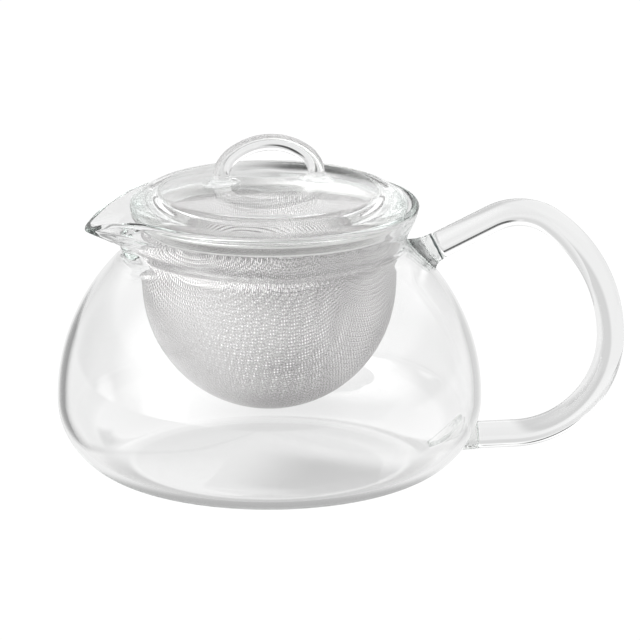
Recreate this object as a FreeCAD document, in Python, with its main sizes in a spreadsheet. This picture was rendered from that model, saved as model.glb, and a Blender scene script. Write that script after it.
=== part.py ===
import FreeCAD, Part
import Sketcher
import math
import os

# Glass teapot with a lift-out mesh infuser and a loose glass lid, in millimetres.
# The pot stands on z = 0 with its axis on Z. The pouring lip points to -X and the handle to +X.

ORIGIN, H_AXIS, V_AXIS = -1, -1, -2
START, END, CENTRE = 1, 2, 3
UP = FreeCAD.Vector(0, 0, 1)
ACROSS = FreeCAD.Vector(0, 1, 0)
SAME = 0.02

# Driving dimensions
CELLS = {
    # Blown bowl: flat base, round corner, domed shoulder
    "belly_radius": 59.0,
    "belly_height": 20.6,
    "dome_radius": 55.5,
    "wall": 2.0,
    "shoulder_height": 56.0,
    # Neck, flared rim and pulled lip
    "rim_height": 75.8,
    "lip_droop_start": 27.0,
    "lip_droop_radius": 56.0,
    "trim_reach": 70.0,
    "trim_lip_reach": 60.0,
    "trim_top": 90.0,
    # Handle rod
    "handle_diameter": 7.7,
    "handle_top_x": 47.5,
    "handle_top_z": 61.4,
    "handle_rise_angle": 25.0,
    "handle_top_bend": 16.9,
    "handle_side_bend": 42.0,
    "handle_low_bend": 27.0,
    "handle_reach": 97.0,
    "handle_low_x": 58.5,
    "handle_low_z": 6.0,
    "upper_weld_length": 9.0,
    "upper_weld_radius": 5.8,
    "lower_weld_length": 13.0,
    "lower_weld_radius": 5.2,
    "weld_neck_radius": 4.05,
    # Infuser
    "mesh_radius": 35.05,
    "mesh_thickness": 0.6,
    "mesh_bottom": 18.0,
    "mesh_bowl_height": 54.0,
    "mesh_side_bend": 42.3,
    "groove_height": 61.2,
    "groove_half": 1.6,
    "groove_depth": 1.1,
    "collar_bottom": 67.0,
    "collar_fold": 69.9,
    "collar_outer_radius": 35.8,
    "collar_inner_radius": 33.7,
    "collar_sheet": 0.5,
    "collar_flare_height": 70.6,
    "collar_edge_radius": 38.2,
    "collar_edge_height": 73.7,
    "collar_flange": 0.7,
    "collar_ledge": 0.9,
    # Lid, measured from the underside of its flange
    "lid_seat": 74.0,
    "lid_crown": 8.5,
    "lid_dome_radius": 210.0,
    "lid_thickness": 3.0,
    "lid_plateau_radius": 33.6,
    "lid_radius": 38.5,
    "lid_edge": 2.4,
    "skirt_outer_radius": 33.2,
    "skirt_inner_radius": 30.6,
    "skirt_depth": 2.8,
    "lid_shoulder_round": 4.0,
    "lid_edge_round": 1.0,
    # Loop on the lid
    "loop_diameter": 4.6,
    "loop_half_width": 13.3,
    "loop_side_bend": 7.5,
    "loop_foot": 9.4,
    "loop_top": 18.9,
    "loop_weld_radius": 3.7,
    "loop_weld_neck": 2.45,
    "loop_weld_height": 3.0,
}

# Sections of the neck, upwards: circles on the dome, then the neck's circle drawn out to the nose of the lip.
# Each lip section names the level wall that its inside is drawn in by, and whether the inside is raised.
RING_SECTIONS = ("shoulder", "mid_dome", "upper_dome")
LIP_SECTIONS = (
    ("lip_root", "slope_wall", False),
    ("throat", "throat_wall", False),
    ("neck", "wall", False),
    ("lip_rise", "wall", True),
    ("lip_floor", "wall", True),
    ("lip_side", "wall", True),
    ("rim", "wall", True),
    ("brim", "wall", True),
)
CELLS.update({
    "slope_wall": 2.9,
    "throat_wall": 2.3,
    "inner_rise": 1.2,
    "mid_dome_height": 57.2,
    "upper_dome_height": 58.8,
    "lip_root_height": 61.5, "lip_root_radius": 41.0, "lip_root_reach": 42.2, "lip_root_nose": 34.4,
    "throat_height": 64.0, "throat_radius": 38.75, "throat_reach": 41.4, "throat_nose": 24.0,
    "neck_height": 66.2, "neck_radius": 38.2, "neck_reach": 42.3, "neck_nose": 16.5,
    "lip_rise_height": 68.2, "lip_rise_radius": 38.9, "lip_rise_reach": 47.2, "lip_rise_nose": 10.0,
    "lip_floor_height": 70.2, "lip_floor_radius": 39.9, "lip_floor_reach": 51.5, "lip_floor_nose": 6.4,
    "lip_side_height": 72.6, "lip_side_radius": 40.9, "lip_side_reach": 53.1, "lip_side_nose": 5.0,
    "rim_radius": 41.7, "rim_reach": 53.4, "rim_nose": 4.7,
    "brim_height": 78.6, "brim_radius": 42.1, "brim_reach": 53.5, "brim_nose": 4.7,
    "ring_split_angle": 32.0,
    "ring_nose_angle": 19.0,
})

doc = FreeCAD.newDocument("teapot")
sheet = doc.addObject("Spreadsheet::Sheet", "dims")
for row, (alias, number) in enumerate(CELLS.items(), start=1):
    sheet.set(f"A{row}", alias)
    sheet.set(f"B{row}", str(number))
    sheet.setAlias(f"B{row}", alias)
doc.recompute()


class Size:
    """A signed sum of cells: its number now, and the expression that keeps it bound to the sheet."""

    def __init__(self, *terms):
        self.number = 0.0
        self.text = ""
        for term in terms:
            alias = term.lstrip("-")
            sign = "-" if term.startswith("-") else "+"
            self.number += float(sheet.get(alias)) * (-1 if sign == "-" else 1)
            self.text += f" {sign} dims.{alias}"
        self.text = self.text.removeprefix(" +").strip()

    @classmethod
    def formula(cls, number, text):
        size = cls()
        size.number, size.text = number, text
        return size


ZERO = Size()


def dome_size(height, *inset):
    """Radius of the domed shoulder at a height, less a wall where one is given."""
    centre = Size("belly_radius", "-dome_radius")
    arc = Size("dome_radius", *inset)
    rise = Size(height, "-belly_height")
    number = centre.number + math.sqrt(arc.number**2 - rise.number**2)
    return Size.formula(number, f"{centre.text} + sqrt(({arc.text})^2 - ({rise.text})^2)")


def new_body(label):
    body = doc.addObject("PartDesign::Body", label)
    body.Label = label
    return body


def sketch_on(body, role, name, offset=None):
    """A sketch on one of the body's own planes, moved along the plane's normal by a bound offset."""
    plane = next(item for item in body.Origin.OriginFeatures if item.Role == role)
    sketch = body.newObject("Sketcher::SketchObject", name)
    sketch.AttachmentSupport = [(plane, "")]
    sketch.MapMode = "FlatFace"
    if offset is not None:
        sketch.setExpression("AttachmentOffset.Base.z", offset.text)
    return sketch


def bind(sketch, size, kind, *where):
    """A dimension bound to the sheet."""
    index = sketch.addConstraint(Sketcher.Constraint(kind, *where, size.number))
    sketch.setExpression(f"Constraints[{index}]", size.text)


def pin(sketch, geo, point, x, y):
    """Fixes a point's coordinates; None leaves one free, and zero puts the point on an axis."""
    for size, kind, axis in ((x, "DistanceX", V_AXIS), (y, "DistanceY", H_AXIS)):
        if size is None:
            continue
        if size.text:
            bind(sketch, size, kind, ORIGIN, START, geo, point)
        else:
            sketch.addConstraint(Sketcher.Constraint("PointOnObject", geo, point, axis))


def arc_between(centre, start, end, turn_left):
    """A circle arc about a centre, which the sketch stores counter-clockwise."""
    first, last = (start, end) if turn_left else (end, start)
    circle = Part.Circle(centre, UP, centre.distanceToPoint(start))
    angles = [math.atan2(point.y - centre.y, point.x - centre.x) for point in (first, last)]
    if angles[1] <= angles[0]:
        angles[1] += 2 * math.pi
    return Part.ArcOfCircle(circle, *angles)


def outline(sketch, corners):
    """Closes a profile. A corner is (x, y) or (x, y, (centre x, centre y, turns left)) for an arc to the
    next corner; None for x or y means that the arc that arrives there decides it."""
    points = []
    for index, corner in enumerate(corners):
        x, y = corner[0], corner[1]
        if x is None or y is None:
            centre = FreeCAD.Vector(corners[index - 1][2][0].number, corners[index - 1][2][1].number)
            radius = centre.distanceToPoint(points[-1])
            across = y.number - centre.y if x is None else x.number - centre.x
            along = math.sqrt(radius**2 - across**2)
        px = centre.x + along if x is None else x.number
        if y is None:
            py = centre.y + math.copysign(along, points[-1].y - centre.y)
        else:
            py = y.number
        points.append(FreeCAD.Vector(px, py))
    ends = []
    for index, corner in enumerate(corners):
        start, end = points[index], points[(index + 1) % len(points)]
        if len(corner) == 2:
            geo = sketch.addGeometry(Part.LineSegment(start, end))
            ends.append((geo, START, END))
            continue
        centre_x, centre_y, turn_left = corner[2]
        centre = FreeCAD.Vector(centre_x.number, centre_y.number)
        geo = sketch.addGeometry(arc_between(centre, start, end, turn_left))
        pin(sketch, geo, CENTRE, centre_x, centre_y)
        ends.append((geo, START, END) if turn_left else (geo, END, START))
    for index, corner in enumerate(corners):
        geo, begin, _ = ends[index]
        last_geo, _, last_end = ends[index - 1]
        sketch.addConstraint(Sketcher.Constraint("Coincident", last_geo, last_end, geo, begin))
        pin(sketch, geo, begin, corner[0], corner[1])


def turned(body, kind, name, corners):
    """A revolved feature of a profile in the XZ plane about the Z axis."""
    sketch = sketch_on(body, "XZ_Plane", f"{name}_profile")
    outline(sketch, corners)
    feature = body.newObject(f"PartDesign::{kind}", name)
    feature.Profile = sketch
    feature.ReferenceAxis = (sketch, ["V_Axis"])
    feature.Angle = 360.0
    doc.recompute()
    return feature


def rounded(body, base, name, radius, keep):
    """A fillet on the edges of a feature that the test picks."""
    edges = [f"Edge{i}" for i, edge in enumerate(base.Shape.Edges, start=1) if keep(edge)]
    feature = body.newObject("PartDesign::Fillet", name)
    feature.Base = (base, edges)
    feature.setExpression("Radius", Size(radius).text)
    doc.recompute()
    return feature


def circle_test(*places):
    """A test for the circles about the Z axis at (radius, height) pairs; no height means any."""
    def test(edge):
        if edge.Degenerated or not isinstance(edge.Curve, Part.Circle):
            return False
        curve = edge.Curve
        for radius, height in places:
            is_level = height is None or abs(curve.Center.z - height.number) < SAME
            if is_level and abs(curve.Radius - radius.number) < SAME:
                return True
        return False
    return test


def ring_section(sketch, radius):
    """A circle cut in four arcs, at the angles where the lip's sections change from arc to line."""
    split = math.radians(CELLS["ring_split_angle"])
    nose = math.radians(CELLS["ring_nose_angle"])
    angles = (-math.pi + split, math.pi - split, math.pi - nose, math.pi + nose, math.pi + split)
    circle = Part.Circle(FreeCAD.Vector(), UP, radius.number)
    arcs = [sketch.addGeometry(Part.ArcOfCircle(circle, *pair)) for pair in zip(angles, angles[1:])]
    for geo in arcs[:3]:
        sketch.addConstraint(Sketcher.Constraint("Coincident", geo, CENTRE, ORIGIN, START))
    for geo, following in zip(arcs, arcs[1:] + arcs[:1]):
        sketch.addConstraint(Sketcher.Constraint("Coincident", geo, END, following, START))
    sketch.addConstraint(Sketcher.Constraint("Equal", arcs[0], arcs[3]))
    for geo in (arcs[0], arcs[2]):
        sketch.addConstraint(Sketcher.Constraint("Vertical", geo, START, geo, END))
    bind(sketch, radius, "Radius", arcs[1])
    vertices = ((arcs[0], END, split, "ring_split_angle"), (arcs[2], START, nose, "ring_nose_angle"))
    for geo, point, angle, cell in vertices:
        x = Size.formula(-radius.number * math.cos(angle), f"-({radius.text}) * cos(dims.{cell} * 1 deg)")
        bind(sketch, x, "DistanceX", ORIGIN, START, geo, point)


def lip_section(sketch, radius, reach, nose):
    """The neck's circle and the lip's nose circle, joined by their two outer tangents."""
    offset = reach.number - nose.number
    turn = math.acos((radius.number - nose.number) / offset)
    neck = Part.Circle(FreeCAD.Vector(), UP, radius.number)
    tip = Part.Circle(FreeCAD.Vector(-offset, 0), UP, nose.number)
    neck_arc = Part.ArcOfCircle(neck, -math.pi + turn, math.pi - turn)
    tip_arc = Part.ArcOfCircle(tip, math.pi - turn, math.pi + turn)
    shapes = (
        neck_arc,
        Part.LineSegment(neck_arc.EndPoint, tip_arc.StartPoint),
        tip_arc,
        Part.LineSegment(tip_arc.EndPoint, neck_arc.StartPoint),
    )
    edges = [sketch.addGeometry(shape) for shape in shapes]
    for geo, following in zip(edges, edges[1:] + edges[:1]):
        sketch.addConstraint(Sketcher.Constraint("Tangent", geo, END, following, START))
    sketch.addConstraint(Sketcher.Constraint("Coincident", edges[0], CENTRE, ORIGIN, START))
    sketch.addConstraint(Sketcher.Constraint("PointOnObject", edges[2], CENTRE, H_AXIS))
    bind(sketch, radius, "Radius", edges[0])
    bind(sketch, nose, "Radius", edges[2])
    centre = Size.formula(-offset, f"-({reach.text} - ({nose.text}))")
    bind(sketch, centre, "DistanceX", ORIGIN, START, edges[2], CENTRE)


def neck_loft(body, kind, name, is_inside):
    """The neck and lip as one loft. The inside has the same sections, raised and drawn in by the wall."""
    sections = []
    for station in RING_SECTIONS:
        height = f"{station}_height"
        sketch = sketch_on(body, "XY_Plane", f"{name}_{station}", Size(height))
        ring_section(sketch, dome_size(height, *(["-wall"] if is_inside else [])))
        sections.append(sketch)
    for station, wall, is_raised in LIP_SECTIONS:
        rise = ["inner_rise"] if is_inside and is_raised else []
        inset = [f"-{wall}"] if is_inside else []
        sketch = sketch_on(body, "XY_Plane", f"{name}_{station}", Size(f"{station}_height", *rise))
        lip_section(sketch, *(Size(f"{station}_{what}", *inset) for what in ("radius", "reach", "nose")))
        sections.append(sketch)
    doc.recompute()
    feature = body.newObject(f"PartDesign::{kind}", name)
    feature.Profile = sections[0]
    feature.Sections = sections[1:]
    doc.recompute()
    return feature


def bowl_profile(*inset):
    """Half section of the bowl up to the shoulder, less a wall where one is given."""
    base = Size("belly_radius", "-belly_height")
    dome_centre = Size("belly_radius", "-dome_radius")
    belly = Size("belly_height")
    floor = Size(*(cell.lstrip("-") for cell in inset))
    return [
        (ZERO, floor),
        (base, floor, (base, belly, True)),
        (None, belly, (dome_centre, belly, True)),
        (None, Size("shoulder_height")),
        (ZERO, Size("shoulder_height")),
    ]


def trim_rim(body):
    """Cuts the neck level at the rim, with the line drooping along an arc towards the lip."""
    rim, top = Size("rim_height"), Size("trim_top")
    begin, left, right = Size("-lip_droop_start"), Size("-trim_lip_reach"), Size("trim_reach")
    droop_centre = Size("rim_height", "-lip_droop_radius")
    sketch = sketch_on(body, "XZ_Plane", "rim_trim_profile")
    outline(sketch, [
        (begin, rim, (begin, droop_centre, True)),
        (left, None),
        (left, top),
        (right, top),
        (right, rim),
    ])
    feature = body.newObject("PartDesign::Pocket", "rim_trim")
    feature.Profile = sketch
    feature.SideType = "Symmetric"
    feature.setExpression("Length", "2 * dims.trim_reach")
    doc.recompute()
    return feature


def build_pot():
    body = new_body("pot_body")
    turned(body, "Revolution", "bowl_outside", bowl_profile())
    outside = neck_loft(body, "AdditiveLoft", "neck_outside", False)
    solid_volume = body.Shape.Volume
    turned(body, "Groove", "bowl_inside", bowl_profile("-wall"))
    neck_loft(body, "SubtractiveLoft", "neck_inside", True)
    trim_rim(body)
    assert body.Shape.Volume < solid_volume / 5, "the bowl is not hollow"
    return body, outside


def handle_path(body):
    """Centre line of the handle: a run out of the lower weld, three tangent bends, a run to the top weld."""
    sketch = sketch_on(body, "XZ_Plane", "handle_path")
    low_bend, side_bend, top_bend = (CELLS[f"handle_{name}_bend"] for name in ("low", "side", "top"))
    rise = math.radians(CELLS["handle_rise_angle"])
    along = FreeCAD.Vector(math.cos(rise), math.sin(rise))
    inward = FreeCAD.Vector(math.sin(rise), -math.cos(rise))
    low_end = FreeCAD.Vector(CELLS["handle_low_x"], CELLS["handle_low_z"])
    top_end = FreeCAD.Vector(CELLS["handle_top_x"], CELLS["handle_top_z"])
    low_centre = FreeCAD.Vector(CELLS["handle_reach"] - low_bend, low_end.y + low_bend)
    side_centre = FreeCAD.Vector(CELLS["handle_reach"] - side_bend, low_centre.y)
    away = top_end + inward * top_bend - side_centre
    lead = away.dot(along)
    run = -lead + math.sqrt(lead**2 - away.dot(away) + (side_bend - top_bend)**2)
    top_centre = top_end + inward * top_bend + along * run
    reach = FreeCAD.Vector(CELLS["handle_reach"], low_centre.y)
    knee = side_centre + (top_centre - side_centre).normalize() * side_bend
    crest = top_end + along * run
    foot = FreeCAD.Vector(low_centre.x, low_end.y)
    shapes = (
        Part.LineSegment(low_end, foot),
        arc_between(low_centre, foot, reach, True),
        arc_between(side_centre, reach, knee, True),
        arc_between(top_centre, knee, crest, True),
        Part.LineSegment(crest, top_end),
    )
    low_run, low_arc, side_arc, top_arc, top_run = (sketch.addGeometry(shape) for shape in shapes)
    for geo, following in ((low_run, low_arc), (low_arc, side_arc), (side_arc, top_arc), (top_arc, top_run)):
        sketch.addConstraint(Sketcher.Constraint("Tangent", geo, END, following, START))
    sketch.addConstraint(Sketcher.Constraint("Horizontal", low_run))
    sketch.addConstraint(Sketcher.Constraint("Horizontal", side_arc, CENTRE, side_arc, START))
    pin(sketch, low_run, START, Size("handle_low_x"), Size("handle_low_z"))
    pin(sketch, top_run, END, Size("handle_top_x"), Size("handle_top_z"))
    pin(sketch, side_arc, START, Size("handle_reach"), None)
    bind(sketch, Size("handle_low_bend"), "Radius", low_arc)
    bind(sketch, Size("handle_side_bend"), "Radius", side_arc)
    bind(sketch, Size("handle_top_bend"), "Radius", top_arc)
    slope = Size.formula(math.pi + rise, "180 deg + dims.handle_rise_angle * 1 deg")
    bind(sketch, slope, "Angle", top_run)
    return sketch, len(shapes)


def swept_rod(body, path, edges, plane, offset, x, y, diameter):
    """A round rod along a path, from a circle on a plane square to its first edge."""
    sketch = sketch_on(body, plane, f"{body.Label}_section", offset)
    circle = sketch.addGeometry(Part.Circle(FreeCAD.Vector(x.number, y.number), UP, diameter.number / 2))
    pin(sketch, circle, CENTRE, x, y)
    bind(sketch, diameter, "Diameter", circle)
    doc.recompute()
    feature = body.newObject("PartDesign::AdditivePipe", f"{body.Label}_sweep")
    feature.Profile = sketch
    feature.Spine = (path, [f"Edge{index + 1}" for index in range(edges)])
    doc.recompute()
    return feature


def build_handle():
    body = new_body("handle_rod")
    path, edges = handle_path(body)
    low_x, low_z = Size("handle_low_x"), Size("handle_low_z")
    swept_rod(body, path, edges, "YZ_Plane", low_x, ZERO, low_z, Size("handle_diameter"))
    return body


def weld_stub(label, base_radius, neck_radius, height, place, axis, angle, cutter):
    """A tapered glass stub turned about an axis, cut to sit on the glass that it is welded to."""
    stub = doc.addObject("Part::Cone", f"{label}_stub")
    stub.setExpression("Radius1", base_radius)
    stub.setExpression("Radius2", neck_radius)
    stub.setExpression("Height", height)
    stub.Placement.Rotation = FreeCAD.Rotation(axis, 90.0)
    stub.setExpression("Placement.Rotation.Angle", angle)
    for coordinate, text in zip("xyz", place):
        stub.setExpression(f"Placement.Base.{coordinate}", text)
    doc.recompute()
    weld = doc.addObject("Part::Cut", label)
    weld.Base = stub
    weld.Tool = cutter
    weld.Label = label
    doc.recompute()
    return weld


def build_handle_welds(cutter):
    rise = "dims.handle_rise_angle * 1 deg"
    upper_place = (
        f"dims.handle_top_x - dims.upper_weld_length * cos({rise})",
        "0",
        f"dims.handle_top_z - dims.upper_weld_length * sin({rise})",
    )
    lower_place = ("dims.handle_low_x - dims.lower_weld_length", "0", "dims.handle_low_z")
    upper = weld_stub("handle_upper_weld", "dims.upper_weld_radius", "dims.weld_neck_radius",
                      "dims.upper_weld_length", upper_place, ACROSS, f"90 deg - {rise}", cutter)
    lower = weld_stub("handle_lower_weld", "dims.lower_weld_radius", "dims.weld_neck_radius",
                      "dims.lower_weld_length", lower_place, ACROSS, "90 deg", cutter)
    return upper, lower


def build_collar():
    """A folded steel rim: a slot that grips the mesh, and a flange that rests in the flared mouth."""
    body = new_body("infuser_collar")
    inner, outer = Size("collar_inner_radius"), Size("collar_outer_radius")
    slot_in = Size("collar_inner_radius", "collar_sheet")
    slot_out = Size("collar_outer_radius", "-collar_sheet")
    bottom, fold, flare = Size("collar_bottom"), Size("collar_fold"), Size("collar_flare_height")
    edge, top = Size("collar_edge_radius"), Size("collar_edge_height")
    edge_low = Size("collar_edge_height", "-collar_flange")
    edge_in = Size("collar_edge_radius", "-collar_flange")
    ledge_out = Size("collar_inner_radius", "collar_ledge")
    ledge = Size("collar_flare_height", "collar_sheet")
    turned(body, "Revolution", "collar_ring", [
        (inner, bottom),
        (slot_in, bottom),
        (slot_in, fold),
        (slot_out, fold),
        (slot_out, bottom),
        (outer, bottom),
        (outer, flare),
        (edge, edge_low),
        (edge, top),
        (edge_in, top),
        (ledge_out, ledge),
        (inner, ledge),
    ])
    return body


def mesh_bottom_bend():
    """Radius of the bowl's bottom that meets the side bend in a tangent."""
    side, wide = Size("mesh_side_bend"), Size("mesh_radius")
    deep = Size("mesh_bowl_height", "-mesh_bottom")
    inset = wide.number - side.number
    number = (side.number**2 - inset**2 - deep.number**2) / (2 * (side.number - deep.number))
    text = (f"(({side.text})^2 - ({wide.text} - {side.text})^2 - ({deep.text})^2)"
            f" / (2 * ({side.text} - ({deep.text})))")
    return Size.formula(number, text)


def build_mesh():
    """A deep-drawn bowl of woven wire, as a thin shell, with one pressed groove under its upright band."""
    body = new_body("infuser_mesh")
    bend = mesh_bottom_bend()
    side_x, side_z = Size("mesh_radius", "-mesh_side_bend"), Size("mesh_bowl_height")
    low_z = Size.formula(CELLS["mesh_bottom"] + bend.number, f"dims.mesh_bottom + ({bend.text})")

    def meeting(*inset):
        """Height where the side bend meets the bottom bend."""
        radius = Size("mesh_side_bend", *inset)
        drop = (low_z.number - side_z.number) / (CELLS["mesh_side_bend"] - bend.number)
        text = (f"{side_z.text} + ({radius.text}) * ({low_z.text} - {side_z.text})"
                f" / (dims.mesh_side_bend - ({bend.text}))")
        return Size.formula(side_z.number + radius.number * drop, text)

    outer, inner = Size("mesh_radius"), Size("mesh_radius", "-mesh_thickness")
    top, groove = Size("collar_fold"), Size("groove_height")
    groove_top, groove_low = Size("groove_height", "groove_half"), Size("groove_height", "-groove_half")
    groove_out = Size("mesh_radius", "-groove_depth")
    groove_in = Size("mesh_radius", "-groove_depth", "-mesh_thickness")
    turned(body, "Revolution", "mesh_bowl", [
        (outer, top),
        (outer, groove_top),
        (groove_out, groove),
        (outer, groove_low),
        (outer, side_z, (side_x, side_z, False)),
        (None, meeting(), (ZERO, low_z, False)),
        (ZERO, None),
        (ZERO, Size("mesh_bottom", "mesh_thickness"), (ZERO, low_z, True)),
        (None, meeting("-mesh_thickness"), (side_x, side_z, True)),
        (None, side_z),
        (inner, groove_low),
        (groove_in, groove),
        (inner, groove_top),
        (inner, top),
    ])
    return body


def build_lid():
    """A pressed glass lid: shallow dome, seating flange and a skirt that locates it in the collar."""
    body = new_body("lid_dome")
    body.setExpression("Placement.Base.z", "dims.lid_seat")
    crown, dome_centre = Size("lid_crown"), Size("lid_crown", "-lid_dome_radius")
    skirt_in, skirt_out = Size("skirt_inner_radius"), Size("skirt_outer_radius")
    skirt_low = Size("-skirt_depth")
    edge, edge_top = Size("lid_radius"), Size("lid_edge")
    plateau = Size("lid_plateau_radius")
    inside = Size("lid_dome_radius", "-lid_thickness")
    under = Size.formula(
        dome_centre.number + math.sqrt(inside.number**2 - skirt_in.number**2),
        f"{dome_centre.text} + sqrt(({inside.text})^2 - ({skirt_in.text})^2)",
    )
    base = turned(body, "Revolution", "lid_turned", [
        (ZERO, crown, (ZERO, dome_centre, False)),
        (plateau, None),
        (edge, edge_top),
        (edge, ZERO),
        (skirt_out, ZERO),
        (skirt_out, skirt_low),
        (skirt_in, skirt_low),
        (skirt_in, under, (ZERO, dome_centre, True)),
        (ZERO, None),
    ])
    shoulder = rounded(body, base, "lid_shoulder", "lid_shoulder_round", circle_test((plateau, None)))
    edges = circle_test((edge, None), (skirt_in, None), (skirt_out, skirt_low))
    rounded(body, shoulder, "lid_edges", "lid_edge_round", edges)
    return body


def loop_path(body):
    """Centre line of the loop: two side bends that rise square from the lid, and a flatter top bend."""
    sketch = sketch_on(body, "XZ_Plane", "loop_path")
    half, side = CELLS["loop_half_width"], CELLS["loop_side_bend"]
    foot, top = CELLS["loop_foot"], CELLS["loop_top"]
    tall = top - foot
    bend = ((half - side)**2 + tall**2 - side**2) / (2 * (tall - side))
    tall_text = "(dims.loop_top - dims.loop_foot)"
    inset_text = "(dims.loop_half_width - dims.loop_side_bend)"
    squares_text = f"({inset_text}^2 + {tall_text}^2 - dims.loop_side_bend^2)"
    bend_size = Size.formula(bend, f"{squares_text} / (2 * ({tall_text} - dims.loop_side_bend))")
    top_centre = FreeCAD.Vector(0, top - bend)
    left_centre, right_centre = FreeCAD.Vector(side - half, foot), FreeCAD.Vector(half - side, foot)
    left_knee, right_knee = (
        top_centre + (centre - top_centre).normalize() * bend for centre in (left_centre, right_centre)
    )
    shapes = (
        arc_between(left_centre, FreeCAD.Vector(-half, foot), left_knee, False),
        arc_between(top_centre, left_knee, right_knee, False),
        arc_between(right_centre, right_knee, FreeCAD.Vector(half, foot), False),
    )
    left, crest, right = (sketch.addGeometry(shape) for shape in shapes)
    sketch.addConstraint(Sketcher.Constraint("Tangent", left, START, crest, END))
    sketch.addConstraint(Sketcher.Constraint("Tangent", crest, START, right, END))
    pin(sketch, left, CENTRE, Size("loop_side_bend", "-loop_half_width"), Size("loop_foot"))
    pin(sketch, left, END, Size("-loop_half_width"), Size("loop_foot"))
    pin(sketch, right, CENTRE, Size("loop_half_width", "-loop_side_bend"), Size("loop_foot"))
    pin(sketch, right, START, None, Size("loop_foot"))
    sketch.addConstraint(Sketcher.Constraint("Equal", left, right))
    bind(sketch, bend_size, "Radius", crest)
    return sketch, len(shapes)


def build_loop():
    body = new_body("lid_loop")
    body.setExpression("Placement.Base.z", "dims.lid_seat")
    path, edges = loop_path(body)
    foot, left = Size("loop_foot"), Size("-loop_half_width")
    swept_rod(body, path, edges, "XY_Plane", foot, left, ZERO, Size("loop_diameter"))
    return body


def build_loop_welds():
    """The loop's two feet, as tapered stubs cut to the ball of which the lid's top is a part."""
    cutter = doc.addObject("Part::Sphere", "lid_top_ball")
    cutter.setExpression("Radius", "dims.lid_dome_radius")
    cutter.Placement.Rotation = FreeCAD.Rotation(UP, 90.0)
    cutter.setExpression("Placement.Base.z", "dims.lid_seat + dims.lid_crown - dims.lid_dome_radius")
    feet = []
    for side, sign in (("left", "-"), ("right", "")):
        place = (f"{sign}dims.loop_half_width", "0", "dims.lid_seat + dims.loop_foot - dims.loop_weld_height")
        feet.append(weld_stub(f"loop_{side}_foot", "dims.loop_weld_radius", "dims.loop_weld_neck",
                              "dims.loop_weld_height", place, UP, "90 deg", cutter))
    welds = doc.addObject("Part::Compound", "lid_loop_welds")
    welds.Links = feet
    welds.Label = "lid_loop_welds"
    doc.recompute()
    return welds


def write_parts(items):
    """Checks every object of the document and every sub-part, then writes one file for each sub-part."""
    failed = [item.Name for item in doc.Objects if {"Invalid", "Error"} & set(item.State)]
    assert not failed, failed
    for item in items:
        shape = item.Shape
        assert not shape.isNull() and shape.isValid(), item.Label
        print(item.Label, len(shape.Solids), "solids", round(shape.Volume), "mm3")
    os.makedirs("parts", exist_ok=True)
    for item in items:
        item.Shape.exportStep(f"parts/{item.Label}.step")


pot, pot_outside = build_pot()
write_parts([
    pot,
    build_handle(),
    *build_handle_welds(pot_outside),
    build_collar(),
    build_mesh(),
    build_lid(),
    build_loop(),
    build_loop_welds(),
])
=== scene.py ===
"""Looks, light and camera for a glass teapot with a lift-out mesh infuser and a loose glass lid.

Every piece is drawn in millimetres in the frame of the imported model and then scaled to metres. The pot stands
on z = 0 with its axis on Z, its pouring lip points to -X and its handle to +X.
"""

import logging
from bisect import bisect_right
from collections.abc import Callable, Iterable
from dataclasses import dataclass
from enum import Enum
from math import acos, asin, atan2, copysign, cos, degrees, hypot, pi, radians, sin, sqrt, tau

import bmesh
import bpy
from bmesh.types import BMEdge, BMesh, BMFace, BMVert
from mathutils import Matrix, Vector

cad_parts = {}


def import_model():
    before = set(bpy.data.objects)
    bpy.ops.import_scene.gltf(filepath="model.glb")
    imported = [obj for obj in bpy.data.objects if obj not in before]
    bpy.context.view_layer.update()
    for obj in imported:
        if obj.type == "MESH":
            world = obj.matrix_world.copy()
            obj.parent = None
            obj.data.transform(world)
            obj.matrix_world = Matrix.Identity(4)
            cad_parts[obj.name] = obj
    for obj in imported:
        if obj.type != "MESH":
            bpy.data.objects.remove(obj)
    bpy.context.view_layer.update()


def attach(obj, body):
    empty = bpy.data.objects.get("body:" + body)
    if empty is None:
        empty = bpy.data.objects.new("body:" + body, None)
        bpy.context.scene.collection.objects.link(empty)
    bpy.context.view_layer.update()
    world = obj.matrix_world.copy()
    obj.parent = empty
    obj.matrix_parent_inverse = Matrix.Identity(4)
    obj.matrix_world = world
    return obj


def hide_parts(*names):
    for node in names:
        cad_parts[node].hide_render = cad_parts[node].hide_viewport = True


LOG = logging.getLogger("teapot")
METRES = 0.001
CLOSE = 1e-4
Span = tuple[float, float]
Triple = tuple[float, float, float]
Socket = bpy.types.NodeSocket
WHITE: Triple = (1.0, 1.0, 1.0)


class Body(Enum):
    """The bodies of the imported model."""

    POT = "pot"
    INFUSER = "infuser"
    LID = "lid"


class Slot(Enum):
    """The record's material slots."""

    GLASS = "clear_glass"
    SHEET = "steel_sheet"
    MESH = "steel_mesh"


class Rounding(Enum):
    """What is rounded: edges of a mesh, or corners of a section."""

    EDGES = "EDGES"
    CORNERS = "VERTICES"


# Finishes


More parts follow.
